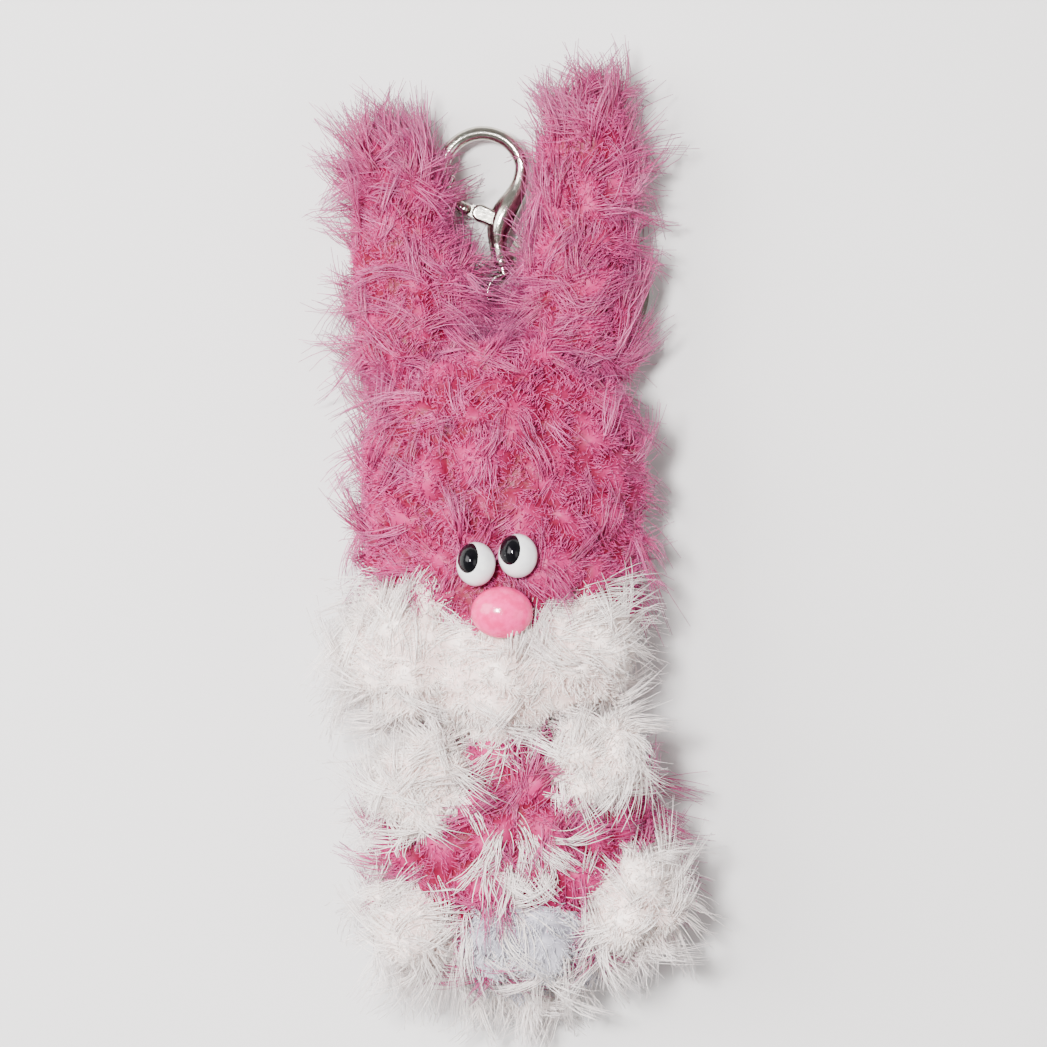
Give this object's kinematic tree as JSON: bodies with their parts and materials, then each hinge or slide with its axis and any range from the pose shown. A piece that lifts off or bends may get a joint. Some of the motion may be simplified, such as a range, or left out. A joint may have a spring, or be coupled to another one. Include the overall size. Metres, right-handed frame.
{
  "type": "plush keychain",
  "caption": "Long-eared crocheted rabbit keychain in fluffy yarn, lying on its back, with a flat split ring and a swivel snap clasp on a yarn loop.",
  "frame": {"origin": "on the flat back of the head, at the surface that the toy lies on", "axes": "+Y from the feet to the tips of the ears, +Z out of the face, +X to the viewer's right when looking at the face"},
  "size_m": [0.0558, 0.1489, 0.0391],
  "materials": {
    "pink_yarn": "fluffy pink plush yarn with long shiny eyelash filaments",
    "white_yarn": "fluffy warm white plush yarn with long shiny filaments",
    "wadding": "loose polyester filling",
    "eye_white": "glossy white moulded plastic",
    "pupil_black": "glossy black moulded plastic",
    "nose_pink": "glossy bubble-gum pink moulded plastic",
    "washer_plastic": "natural polyethylene",
    "loop_yarn": "twisted pink yarn cord",
    "nickel": "polished nickel plate",
    "spring_steel": "bright spring wire"
  },
  "bodies": {
    "plush": {"body_cover": "pink_yarn", "body_stuffing": "wadding", "head_cover": "pink_yarn", "head_stuffing": "wadding", "muzzle_cover": "white_yarn", "left_paw": "white_yarn", "right_paw": "white_yarn", "left_foot": "white_yarn", "right_foot": "white_yarn", "tail": "white_yarn", "left_eye": "eye_white", "left_pupil": "pupil_black", "left_eye_washer": "washer_plastic", "right_eye": "eye_white", "right_pupil": "pupil_black", "right_eye_washer": "washer_plastic", "nose": "nose_pink", "nose_washer": "washer_plastic", "hanging_loop": "loop_yarn"},
    "left_ear": {"left_ear": "pink_yarn"},
    "right_ear": {"right_ear": "pink_yarn"},
    "ring": {"key_ring": "nickel"},
    "eye_link": {"swivel_eye": "nickel"},
    "clasp": {"clasp_body": "nickel", "trigger_pin": "nickel", "trigger_spring": "spring_steel"},
    "trigger": {"clasp_trigger": "nickel"}
  },
  "joints": [
    {"name": "left_ear_flop", "type": "hinge", "parent": "plush", "child": "left_ear", "pos_m": [-0.0122, 0.0324, 0.0114], "axis": [0.9724, 0.2334, 0], "range_deg": [0, 80]},
    {"name": "right_ear_flop", "type": "hinge", "parent": "plush", "child": "right_ear", "pos_m": [0.0136, 0.0324, 0.0114], "axis": [0.9997, -0.0262, 0], "range_deg": [0, 80]},
    {"name": "ring_swing", "type": "hinge", "parent": "plush", "child": "ring", "pos_m": [0.0031, 0.0382, 0.0045], "axis": [0, 0, 1], "range_deg": [-22, 12]},
    {"name": "clasp_lift", "type": "hinge", "parent": "plush", "child": "eye_link", "pos_m": [0.0031, 0.0346, 0.0045], "axis": [1, 0, 0], "range_deg": [0, 60]},
    {"name": "clasp_swivel", "type": "hinge", "parent": "eye_link", "child": "clasp", "pos_m": [0.0013, 0.0387, 0.0059], "axis": [-0.2062, 0.9785, 0], "continuous": true},
    {"name": "trigger_open", "type": "hinge", "parent": "clasp", "child": "trigger", "pos_m": [-0.00324, 0.05197, 0.0059], "axis": [0, 0, -1], "range_deg": [0, 60], "stiffness_Nm_per_rad": 0.004, "springref_deg": -22.92}
  ]
}
